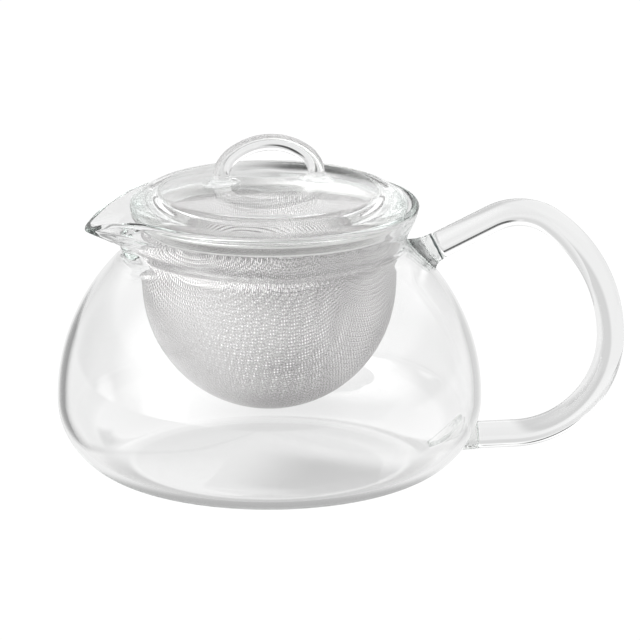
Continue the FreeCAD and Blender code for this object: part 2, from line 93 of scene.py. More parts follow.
class Tree:
    """A node tree, with short calls to add and combine nodes."""

    def __init__(self, tree: bpy.types.NodeTree) -> None:
        """Wraps a node tree."""
        self.tree = tree

    def fill(self, socket: Socket, value: object) -> None:
        """Gives an input its value.

        Args:
            socket: the input.
            value: an output, which is linked, or a plain value.
        """
        if isinstance(value, Socket):
            self.tree.links.new(value, socket)
        else:
            socket.default_value = value

    def add(self, kind: str, **values: object) -> bpy.types.Node:
        """Adds a node and sets its options and inputs.

        Args:
            kind: the node's type.
            values: options by their names, and outputs or plain values for inputs by "in_" and their names.

        Returns:
            The new node.
        """
        node = self.tree.nodes.new(kind)
        for key, value in values.items():
            if key.startswith("in_"):
                self.fill(node.inputs[key[3:].replace("_", " ")], value)
            else:
                setattr(node, key, value)
        return node

    def sum(self, operation: str, *terms: Socket | float) -> Socket:
        """Combines numbers.

        Args:
            operation: the math node's operation.
            terms: outputs or plain numbers.

        Returns:
            The result's output.
        """
        node = self.add("ShaderNodeMath", operation=operation)
        for socket, term in zip(node.inputs, terms):
            self.fill(socket, term)
        return node.outputs["Value"]

    def step(
        self, value: Socket, low: float, high: float, first: float = 0.0, last: float = 1.0
    ) -> Socket:
        """A smooth step from one number to another.

        Args:
            value: the output that is looked at.
            low: where the step starts.
            high: where it ends.
            first: the number before it.
            last: the number after it.

        Returns:
            The step's output.
        """
        node = self.add(
            "ShaderNodeMapRange", interpolation_type="SMOOTHSTEP", in_From_Min=low, in_From_Max=high,
            in_To_Min=first, in_To_Max=last, in_Value=value,
        )
        return node.outputs["Result"]

    def split(self, place: Socket) -> bpy.types.bpy_prop_collection:
        """Returns the outputs of a vector's parts."""
        return self.add("ShaderNodeSeparateXYZ", in_Vector=place).outputs

    def length(self, place: Socket) -> Socket:
        """Returns the output of a vector's length."""
        return self.add("ShaderNodeVectorMath", operation="LENGTH", in_Vector=place).outputs["Value"]

    def towards(self, place: Socket, direction: Vector) -> Socket:
        """How far a vector points along a direction.

        Args:
            place: the vector's output.
            direction: the direction.

        Returns:
            The output of their dot product.
        """
        node = self.add("ShaderNodeVectorMath", operation="DOT_PRODUCT", in_Vector=place)
        self.fill(node.inputs[1], direction)
        return node.outputs["Value"]


class Nodes(Tree):
    """A material's node tree."""

    def __init__(self, name: str) -> None:
        """Starts a material with a plain Principled shader.

        Args:
            name: the material's name.
        """
        self.material = bpy.data.materials.new(name)
        self.material.use_nodes = True
        super().__init__(self.material.node_tree)
        self.shader = self.tree.nodes["Principled BSDF"]
        self.output = self.tree.nodes["Material Output"]

    def place(self) -> Socket:
        """Returns the output of the Object coordinates."""
        return self.add("ShaderNodeTexCoord").outputs["Object"]

    def shade(self, **values: object) -> None:
        """Gives the shader's inputs their values, by names with "_" for a space."""
        for key, value in values.items():
            self.fill(self.shader.inputs[key.replace("_", " ")], value)

    def mixed(self, share: Socket, first: Triple, last: Triple) -> Socket:
        """Mixes two colours.

        Args:
            share: the output of the second colour's share.
            first: the first colour.
            last: the second colour.

        Returns:
            The mixed colour's output.
        """
        node = self.add("ShaderNodeMix", data_type="RGBA", in_Factor=share)
        node.inputs[6].default_value, node.inputs[7].default_value = (*first, 1.0), (*last, 1.0)
        return node.outputs[2]


@dataclass(frozen=True)
class GlassFinish:
    """Clear worked glass: a faint green body colour, and a skin with the soft ripple left by the flame."""

    name: str
    body_colour: Triple
    body_density: float
    ripple_size: float
    ripple_strength: float
    ior: float = 1.47
    ripple_height: float = 0.0004
    ripple_detail: float = 1.0
    ripple_roughness: float = 0.4

    def nodes(self) -> Nodes:
        """Mixes the body colour and the rippled skin.

        Returns:
            The material's nodes.
        """
        nodes = Nodes(self.name)
        ripple = nodes.add(
            "ShaderNodeTexNoise", in_Scale=1 / self.ripple_size, in_Detail=self.ripple_detail,
            in_Roughness=self.ripple_roughness, in_Vector=nodes.place(),
        )
        bump = nodes.add(
            "ShaderNodeBump", in_Strength=self.ripple_strength, in_Distance=self.ripple_height,
            in_Height=ripple.outputs["Fac"],
        )
        nodes.shade(
            Base_Color=(*WHITE, 1.0), Transmission_Weight=1.0, Roughness=0.0, IOR=self.ior,
            Normal=bump.outputs["Normal"],
        )
        body = nodes.add(
            "ShaderNodeVolumeAbsorption", in_Color=(*self.body_colour, 1.0), in_Density=self.body_density
        )
        nodes.fill(nodes.output.inputs["Volume"], body.outputs["Volume"])
        return nodes

    def material(self) -> bpy.types.Material:
        """Returns the finish as a material."""
        return self.nodes().material


@dataclass(frozen=True)
class RingedGlass(GlassFinish):
    """Glass with a near-black ring in its base colour, square to a direction and at a distance along it."""

    direction: Triple = (0.0, 0.0, 1.0)
    ring: float = 0.0
    half_width: float = 0.0003
    dark_width: float = 0.00012
    colour: Triple = (0.02, 0.03, 0.03)

    def nodes(self) -> Nodes:
        """Adds the dark ring to the clear glass.

        Returns:
            The material's nodes.
        """
        nodes = super().nodes()
        along = nodes.towards(nodes.place(), Vector(self.direction))
        off = nodes.sum("ABSOLUTE", nodes.sum("SUBTRACT", along, self.ring))
        dark = nodes.step(off, self.half_width, self.dark_width)
        nodes.shade(Base_Color=nodes.mixed(dark, WHITE, self.colour))
        return nodes


@dataclass(frozen=True)
class SteelFinish:
    """Bright stainless steel, with fine turning lines round the pot's axis and soft clouds of tone."""

    name: str
    colour: Triple
    smooth: float
    rough: float
    line_size: float
    line_strength: float
    line_height: float = 0.00005
    line_detail: float = 3.0
    cloud_scale: float = 60.0
    cloud_detail: float = 2.0
    cloud_tone: float = 0.86

    def material(self) -> bpy.types.Material:
        """Mixes the tone and the turning lines.

        Returns:
            The material.
        """
        nodes = Nodes(self.name)
        place = nodes.place()
        parts = nodes.split(place)
        level = nodes.add("ShaderNodeCombineXYZ", in_X=parts["X"], in_Y=parts["Y"]).outputs["Vector"]
        radius = nodes.length(level)
        section = nodes.add("ShaderNodeCombineXYZ", in_X=radius, in_Z=parts["Z"]).outputs["Vector"]
        lines = nodes.add(
            "ShaderNodeTexNoise", in_Scale=1 / self.line_size, in_Detail=self.line_detail, in_Vector=section
        ).outputs["Fac"]
        cloud = nodes.add(
            "ShaderNodeTexNoise", in_Scale=self.cloud_scale, in_Detail=self.cloud_detail, in_Vector=place
        ).outputs["Fac"]
        sheen = nodes.add("ShaderNodeMapRange", in_To_Min=self.smooth, in_To_Max=self.rough, in_Value=lines)
        bump = nodes.add(
            "ShaderNodeBump", in_Strength=self.line_strength, in_Distance=self.line_height, in_Height=lines
        )
        dark = tuple(self.cloud_tone * part for part in self.colour)
        nodes.shade(
            Metallic=1.0, Roughness=sheen.outputs["Result"], Normal=bump.outputs["Normal"],
            Base_Color=nodes.mixed(cloud, dark, self.colour),
        )
        return nodes.material


# Drawing


def only(items: Iterable[object], kind: type | tuple[type, ...]) -> list:
    """Returns the items of one kind, or of one of some kinds."""
    return [item for item in items if isinstance(item, kind)]


def swung(mesh: BMesh, geom: list, x: float, z: float, angle: float, steps: int) -> list:
    """Sweeps geometry about a centre in the XZ plane.

    Args:
        mesh: the mesh that holds the geometry.
        geom: what is swept.
        x: the centre's x.
        z: the centre's z.
        angle: the angle in degrees, to the left where it is positive.
        steps: the number of equal steps.

    Returns:
        The geometry at the end of the sweep.
    """
    made = bmesh.ops.spin(
        mesh, geom=geom, cent=(x, 0.0, z), axis=(0.0, -1.0, 0.0), angle=radians(angle), steps=steps,
        use_duplicate=False,
    )
    return made["geom_last"]


def rounded(mesh: BMesh, geom: list, width: float, segments: int, kind: Rounding = Rounding.EDGES) -> None:
    """Rounds edges of a mesh, or corners of a section."""
    bmesh.ops.bevel(
        mesh, geom=geom, offset=width, affect=kind.value, segments=segments, profile=0.5, material=-1
    )


class Pen:
    """Draws a half section in the XZ plane, edge by edge, and turns it about the Z axis."""

    def __init__(self, x: float, z: float) -> None:
        """Starts the section at a point."""
        self.mesh = bmesh.new()
        self.tip = self.mesh.verts.new((x, 0.0, z))

    def line(self, x: float, z: float, steps: int = 1) -> None:
        """Draws a straight line from the tip.

        Args:
            x: the x of its end.
            z: the z of its end.
            steps: the number of equal steps.
        """
        start, end = self.tip.co.copy(), Vector((x, 0.0, z))
        for step in range(1, steps + 1):
            made = bmesh.ops.extrude_vert_indiv(self.mesh, verts=[self.tip])
            self.tip = made["verts"][0]
            self.tip.co = start.lerp(end, step / steps)

    def arc(self, x: float, z: float, angle: float, steps: int) -> None:
        """Draws an arc from the tip about a centre, by an angle in degrees to the left."""
        self.tip = only(swung(self.mesh, [self.tip], x, z, angle, steps), BMVert)[0]

    def turned(self, steps: int) -> BMesh:
        """Turns the section full circle.

        Args:
            steps: faces round the circle.

        Returns:
            The closed mesh, with its poles merged and its faces outwards.
        """
        section = [*self.mesh.verts, *self.mesh.edges]
        bmesh.ops.spin(
            self.mesh, geom=section, axis=(0.0, 0.0, 1.0), angle=tau, steps=steps, use_merge=True,
            use_duplicate=False,
        )
        bmesh.ops.remove_doubles(self.mesh, verts=self.mesh.verts[:], dist=CLOSE)
        bmesh.ops.recalc_face_normals(self.mesh, faces=self.mesh.faces[:])
        return self.mesh


class Rod:
    """Sweeps a round section along straight runs and bends in the XZ plane."""

    def __init__(self, start: Vector, heading: float, radius: float, sides: int) -> None:
        """Starts the rod with a ring square to its heading.

        Args:
            start: the centre of the first ring.
            heading: the angle of the first run above +X, in degrees.
            radius: the rod's radius.
            sides: vertices in a ring.
        """
        self.mesh = bmesh.new()
        self.heading = heading
        made = bmesh.ops.create_circle(self.mesh, radius=radius, segments=sides)
        turn = Matrix.Rotation(radians(90.0 - heading), 4, "Y")
        bmesh.ops.transform(self.mesh, matrix=Matrix.Translation(start) @ turn, verts=made["verts"])
        self.ring = [*made["verts"], *self.mesh.edges]

    def run(self, length: float, steps: int) -> None:
        """Sweeps straight ahead.

        Args:
            length: how far.
            steps: the number of equal steps.
        """
        angle = radians(self.heading)
        ahead = Vector((cos(angle), 0.0, sin(angle))) * (length / steps)
        for _ in range(steps):
            made = bmesh.ops.extrude_edge_only(self.mesh, edges=only(self.ring, BMEdge))["geom"]
            self.ring = only(made, (BMVert, BMEdge))
            bmesh.ops.translate(self.mesh, vec=ahead, verts=only(made, BMVert))

    def bend(self, x: float, z: float, angle: float, steps: int) -> None:
        """Sweeps about a centre, by an angle in degrees to the left."""
        self.ring = only(swung(self.mesh, self.ring, x, z, angle, steps), (BMVert, BMEdge))
        self.heading += angle

    def capped(self, rounding: float, segments: int = 5) -> BMesh:
        """Closes both ends with rounded caps.

        Args:
            rounding: the width of the rounding.
            segments: faces across it.

        Returns:
            The closed mesh.
        """
        ends = [edge for edge in self.mesh.edges if edge.is_boundary]
        bmesh.ops.holes_fill(self.mesh, edges=ends, sides=0)
        bmesh.ops.recalc_face_normals(self.mesh, faces=self.mesh.faces[:])
        rounded(self.mesh, ends, rounding, segments)
        return self.mesh


def placed(name: str, data: bpy.types.ID) -> bpy.types.Object:
    """Puts a new object into the scene, at the origin.

    Args:
        name: the object's name.
        data: its mesh, curve or camera.

    Returns:
        The object.
    """
    made = bpy.data.objects.new(name, data)
    bpy.context.scene.collection.objects.link(made)
    return made


def meshed(name: str, mesh: BMesh) -> bpy.types.Mesh:
    """Makes a mesh of what a bmesh holds.

    Args:
        name: the mesh's name.
        mesh: the bmesh, which is freed.

    Returns:
        The mesh.
    """
    data = bpy.data.meshes.new(name)
    mesh.to_mesh(data)
    mesh.free()
    return data


def piece(
    name: str, mesh: BMesh | bpy.types.Mesh, material: bpy.types.Material, body: Body, slot: Slot, *nodes: str
) -> None:
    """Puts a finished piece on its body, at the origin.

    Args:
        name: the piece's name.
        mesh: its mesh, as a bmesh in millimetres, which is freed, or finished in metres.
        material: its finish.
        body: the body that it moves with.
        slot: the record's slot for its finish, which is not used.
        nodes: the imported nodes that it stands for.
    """
    data = mesh
    if isinstance(mesh, BMesh):
        bmesh.ops.scale(mesh, vec=(METRES, METRES, METRES), verts=mesh.verts[:])
        for face in mesh.faces:
            face.smooth = True
        data = meshed(name, mesh)
    data.materials.clear()
    data.materials.append(material)
    made = placed(name, data)
    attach(made, body.value)
    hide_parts(*nodes)
    LOG.info("%s: %d faces on %s", name, len(data.polygons), body.value)


def curve_through(heights: tuple[float, ...], values: tuple[float, ...]) -> Callable[[float], float]:
    """A smooth curve through values at rising heights.

    Args:
        heights: where the values stand.
        values: the values.

    Returns:
        A function of height, with the end values beyond the ends.
    """
    slopes = []
    for index in range(len(heights)):
        low, high = max(index - 1, 0), min(index + 1, len(heights) - 1)
        slopes.append((values[high] - values[low]) / (heights[high] - heights[low]))

    def value(height: float) -> float:
        """Reads the curve.

        Args:
            height: where it is read.

        Returns:
            Its value there.
        """
        if height <= heights[0]:
            return values[0]
        if height >= heights[-1]:
            return values[-1]
        index = bisect_right(heights, height) - 1
        gap = heights[index + 1] - heights[index]
        share = (height - heights[index]) / gap
        rest = 1 - share
        return (
            values[index] * rest * rest * (1 + 2 * share)
            + values[index + 1] * share * share * (1 + 2 * rest)
            + gap * share * rest * (slopes[index] * rest - slopes[index + 1] * share)
        )

    return value


def eased(value: float, low: float, high: float) -> float:
    """Returns 0 below low, 1 above high, and a smooth step between them."""
    share = min(max((value - low) / (high - low), 0.0), 1.0)
    return share * share * (3 - 2 * share)


def bearing(azimuth: float, elevation: float) -> Vector:
    """Returns the unit vector at an azimuth, counted from -Y towards +X, and an elevation, in degrees."""
    angle, height = radians(azimuth), radians(elevation)
    return Vector((sin(angle) * cos(height), -cos(angle) * cos(height), sin(height)))


# Pieces


@dataclass
class PotBody:
    """The blown bowl with its flared mouth and pulled pouring lip, in one wall of glass."""

    finish: GlassFinish
    belly_radius: float = 59.0
    belly_height: float = 20.6
    dome_radius: float = 55.5
    wall: float = 2.0
    neck_start: float = 58.8
    lip_start: float = 61.5
    neck_height: float = 66.2
    rim_height: float = 75.8
    inner_rise: float = 1.2
    droop_start: float = 35.0
    droop_radius: float = 27.0
    droop_margin: float = 1.0
    nose_angle: float = radians(19.0)
    split_angle: float = radians(32.0)
    lip_angle: float = radians(37.0)
    lip_low: float = 63.5
    lip_gap: float = 0.2
    lip_cuts: int = 2
    lip_rounds: int = 8
    steps: int = 320
    floor_steps: int = 6
    corner_steps: int = 20
    dome_steps: int = 40
    neck_steps: int = 48
    rim_steps: int = 16
    dome_stations: Span = (57.4, 60.2)
    rise_band: Span = (-1.0, 3.0)
    inner_band: Span = (-1.0, -1.2)
    stations: tuple[float, ...] = (61.5, 62.6, 63.5, 64.6, 66.2, 68.2, 70.2, 72.6, 75.8, 78.6)
    radii: tuple[float, ...] = (41.02, 39.79, 38.85, 38.32, 38.2, 38.9, 39.9, 40.9, 41.7, 42.1)
    reaches: tuple[float, ...] = (41.35, 40.95, 41.0, 41.4, 42.5, 47.2, 51.5, 53.1, 53.4, 53.5)
    noses: tuple[float, ...] = (39.2, 33.4, 27.0, 22.0, 16.5, 10.0, 6.4, 5.0, 4.7, 4.7)

    def __post_init__(self) -> None:
        """Draws the curves of the neck's sections through their stations."""
        low = (self.dome_stations[0], self.neck_start, self.dome_stations[1])
        self.radius_at = curve_through((*low, *self.stations), (*map(self.dome_at, low), *self.radii))
        self.reach_at = curve_through(self.stations, self.reaches)
        self.nose_at = curve_through(self.stations, self.noses)

    def dome_at(self, height: float) -> float:
        """How wide the bowl is on its outside, up to the neck.

        Args:
            height: where it is measured.

        Returns:
            The radius there.
        """
        if height < self.belly_height:
            corner = self.belly_height
            return self.belly_radius - corner + sqrt(max(corner**2 - (corner - height) ** 2, 0.0))
        centre = self.belly_radius - self.dome_radius
        return centre + sqrt(self.dome_radius**2 - (height - self.belly_height) ** 2)

    def outside_at(self, height: float) -> float:
        """Returns the outside radius away from the lip, at any height."""
        return self.dome_at(height) if height < self.neck_start else self.radius_at(height)

    def gap(self, point: Vector) -> float:
        """Returns how far a point lies outside the bowl, measured level."""
        return hypot(point.x, point.y) - self.outside_at(point.z)

    def rise_at(self, height: float) -> float:
        """Returns how much higher the inside of the flared neck stands than its outside."""
        low, high = (self.neck_height + offset for offset in self.rise_band)
        return self.inner_rise * eased(height, low, high)

    def inside_at(self, height: float) -> float:
        """How wide the neck is on its inside, away from the lip.

        Args:
            height: where it is measured, from the neck's start upwards.

        Returns:
            The radius there.
        """
        centre = self.belly_radius - self.dome_radius
        above = min(height, self.neck_height) - self.belly_height
        dome = centre + sqrt((self.dome_radius - self.wall) ** 2 - above**2)
        upper = self.outside_at(height - self.rise_at(height)) - self.wall
        start, end = self.inner_band
        share = eased(height, self.lip_start + start, self.neck_height + end)
        return dome * (1 - share) + upper * share

    def section_point(self, angle: float, radius: float, reach: float, nose: float) -> Span:
        """Where a ring's point goes on the neck's circle drawn out to the lip's nose.

        Args:
            angle: the point's angle from -X on the ring.
            radius: the neck's radius.
            reach: how far the nose reaches.
            nose: the nose's radius.

        Returns:
            The point's x and its distance to the side.
        """
        offset = reach - nose
        turn = acos(min(max((radius - nose) / offset, -1.0), 1.0))
        if angle <= self.nose_angle:
            around = turn * angle / self.nose_angle
            return -offset - nose * cos(around), nose * sin(around)
        if angle <= self.split_angle:
            share = (angle - self.nose_angle) / (self.split_angle - self.nose_angle)
            middle = nose + (radius - nose) * share
            return -offset * (1 - share) - middle * cos(turn), middle * sin(turn)
        around = turn + (pi - turn) * (angle - self.split_angle) / (pi - self.split_angle)
        return -radius * cos(around), radius * sin(around)

    def trim_at(self, x: float) -> float:
        """Returns the height of the rim's line at an x, drooping towards the lip."""
        past = min(max(-self.droop_start - x, 0.0), self.droop_radius - self.droop_margin)
        return self.rim_height - self.droop_radius + sqrt(self.droop_radius**2 - past**2)

    def refine_lip(self, mesh: BMesh) -> None:
        """Adds points to the rings where the lip is drawn out.

        Args:
            mesh: the turned pot, in place.
        """
        near = {
            vert
            for vert in mesh.verts
            if vert.co.z > self.lip_low and atan2(abs(vert.co.y), -vert.co.x) < self.lip_angle
        }
        level = []
        for edge in mesh.edges:
            _, aside, up = edge.verts[0].co - edge.verts[1].co
            if near.issuperset(edge.verts) and abs(up) < CLOSE and abs(aside) > self.lip_gap:
                level.append(edge)
        bmesh.ops.subdivide_edges(mesh, edges=level, cuts=self.lip_cuts, use_grid_fill=True)

    def pull_lip(self, mesh: BMesh) -> None:
        """Draws the neck's rings out to the lip, and lowers the rim's line towards it.

        Args:
            mesh: the turned pot, in place.
        """
        neck, tall = self.neck_height, self.rim_height - self.neck_height
        for vert in mesh.verts:
            if vert.co.z <= self.neck_start:
                continue
            radius, height = hypot(vert.co.x, vert.co.y), vert.co.z
            angle = atan2(abs(vert.co.y), -vert.co.x)
            depth = min(max((self.outside_at(height) - radius) / self.wall, 0.0), 1.0)
            rise = depth * self.rise_at(height)
            inset = self.outside_at(height - rise) - radius
            share = eased(height, self.neck_start, self.lip_start)
            x, level = vert.co.x, height
            for _ in range(self.lip_rounds):
                if height > neck:
                    level = neck + (height - neck) * ((self.trim_at(x) - neck) / tall)
                at = level - rise
                grown = self.outside_at(at) - self.outside_at(max(at, self.lip_start)) - inset
                drawn, side = self.section_point(
                    angle, self.outside_at(at) - inset, self.reach_at(at) + grown, self.nose_at(at) + grown
                )
                x = (x + drawn) / 2
            round_x, round_side = -radius * cos(angle), radius * sin(angle)
            x, side = round_x + (drawn - round_x) * share, round_side + (side - round_side) * share
            vert.co = (x, copysign(side, vert.co.y), level)

    def build(self) -> None:
        """Draws the wall's section, turns it and pulls the lip."""
        corner, dome = self.belly_height, self.dome_radius
        base = self.belly_radius - corner
        centre = self.belly_radius - dome
        outer_sweep = degrees(asin((self.neck_start - corner) / dome))
        inner_sweep = degrees(asin((self.neck_start - corner) / (dome - self.wall)))
        pen = Pen(0.0, 0.0)
        pen.line(base, 0.0, self.floor_steps)
        pen.arc(base, corner, 90.0, self.corner_steps)
        pen.arc(centre, corner, outer_sweep, self.dome_steps)
        shoulder = self.rim_height - self.wall / 2
        tall, count = shoulder - self.neck_start, self.neck_steps
        levels = [self.neck_start + tall * step / count for step in range(1, count + 1)]
        for level in levels:
            pen.line(self.outside_at(level), level)
        rim = (self.outside_at(shoulder) + self.inside_at(shoulder)) / 2
        pen.arc(rim, shoulder, 180.0, self.rim_steps)
        for level in reversed(levels[:-1]):
            pen.line(self.inside_at(level), level)
        pen.line(self.inside_at(self.neck_start), self.neck_start)
        pen.arc(centre, corner, -inner_sweep, self.dome_steps)
        pen.arc(base, corner, -90.0, self.corner_steps)
        pen.line(0.0, self.wall, self.floor_steps)
        mesh = pen.turned(self.steps)
        self.refine_lip(mesh)
        self.pull_lip(mesh)
        piece("pot_glass", mesh, self.finish.material(), Body.POT, Slot.GLASS, "pot_body")


@dataclass(frozen=True)
class Weld:
    """A flared foot of melted glass between a rod's end and the wall that it is welded to.

    It laps back over the rod and sinks into the wall. The depth is a distance from the rod's end that surely
    lies behind the wall's face.
    """

    neck_radius: float
    base_radius: float
    sink: float
    lap: float
    depth: float
    steps: int = 64
    flare: float = 2.4
    rings: int = 15
    base_steps: int = 6
    neck_steps: int = 3
    halvings: int = 24

    def mesh(self, end: Vector, towards: Vector, gap: Callable[[Vector], float]) -> BMesh:
        """Makes the foot from the rod's end to the wall.

        Args:
            end: the middle of the rod's end.
            towards: the direction from there to the wall.
            gap: how far a point lies outside the wall.

        Returns:
            The foot's mesh, in place.
        """
        pen = Pen(0.0, 1.0)
        pen.line(self.base_radius, 1.0, self.base_steps)
        for ring in range(1, self.rings):
            share = 1 - ring / self.rings
            pen.line(self.neck_radius + (self.base_radius - self.neck_radius) * share**self.flare, share)
        pen.line(self.neck_radius, 0.0)
        pen.line(0.0, 0.0, self.neck_steps)
        mesh = pen.turned(self.steps)
        across = towards.orthogonal().normalized()
        side = towards.cross(across)
        for vert in mesh.verts:
            mouth = end + across * vert.co.x + side * vert.co.y
            near, far = 0.0, self.depth
            for _ in range(self.halvings):
                middle = (near + far) / 2
                if gap(mouth + towards * middle) > 0:
                    near = middle
                else:
                    far = middle
            along = -self.lap + (near + self.sink + self.lap) * vert.co.z
            vert.co = mouth + towards * along
        if mesh.calc_volume(signed=True) < 0:
            bmesh.ops.reverse_faces(mesh, faces=mesh.faces[:])
        return mesh


@dataclass
class Handle:
    """A solid glass rod bent to a handle, with its two welds to the pot."""

    finish: GlassFinish
    upper_finish: GlassFinish
    lower_finish: GlassFinish
    pot: PotBody
    radius: float = 3.85
    low_end: Triple = (58.5, 0.0, 6.0)
    top_end: Triple = (47.5, 0.0, 61.4)
    rise: float = 25.0
    reach: float = 97.0
    low_bend: float = 27.0
    side_bend: float = 42.0
    top_bend: float = 16.9
    sides: int = 48
    run_steps: tuple[int, int] = (6, 12)
    bend_steps: tuple[int, int, int] = (40, 40, 32)
    end_round: float = 0.9
    upper_weld: Weld = Weld(4.0, 5.8, 0.35, -0.08, 14.0)
    lower_weld: Weld = Weld(4.0, 5.2, -0.04, 0.3, 12.0)

    def build(self) -> None:
        """Sweeps the rod from its lower to its upper end, and adds the welds."""
        angle = radians(self.rise)
        along = Vector((cos(angle), 0.0, sin(angle)))
        inward = Vector((sin(angle), 0.0, -cos(angle)))
        low, top = Vector(self.low_end), Vector(self.top_end)
        low_centre = Vector((self.reach - self.low_bend, 0.0, self.low_end[2] + self.low_bend))
        side_centre = Vector((self.reach - self.side_bend, 0.0, low_centre.z))
        away = top + inward * self.top_bend - side_centre
        lead = away.dot(along)
        run = -lead + sqrt(lead**2 - away.dot(away) + (self.side_bend - self.top_bend) ** 2)
        top_centre = top + inward * self.top_bend + along * run
        to_top = top_centre - side_centre
        knee = degrees(atan2(to_top.z, to_top.x))
        rod = Rod(low, 0.0, self.radius, self.sides)
        rod.run(low_centre.x - low.x, self.run_steps[0])
        rod.bend(low_centre.x, low_centre.z, 90.0, self.bend_steps[0])
        rod.bend(side_centre.x, side_centre.z, knee, self.bend_steps[1])
        rod.bend(top_centre.x, top_centre.z, 90.0 + self.rise - knee, self.bend_steps[2])
        rod.run(run, self.run_steps[1])
        upper = self.upper_weld.mesh(top, -along, self.pot.gap)
        lower = self.lower_weld.mesh(low, Vector((-1.0, 0.0, 0.0)), self.pot.gap)
        for name, mesh, finish, node in (
            ("handle_glass", rod.capped(self.end_round), self.finish, "handle_rod"),
            ("handle_upper_foot", upper, self.upper_finish, "handle_upper_weld"),
            ("handle_lower_foot", lower, self.lower_finish, "handle_lower_weld"),
        ):
            piece(name, mesh, finish.material(), Body.POT, Slot.GLASS, node)


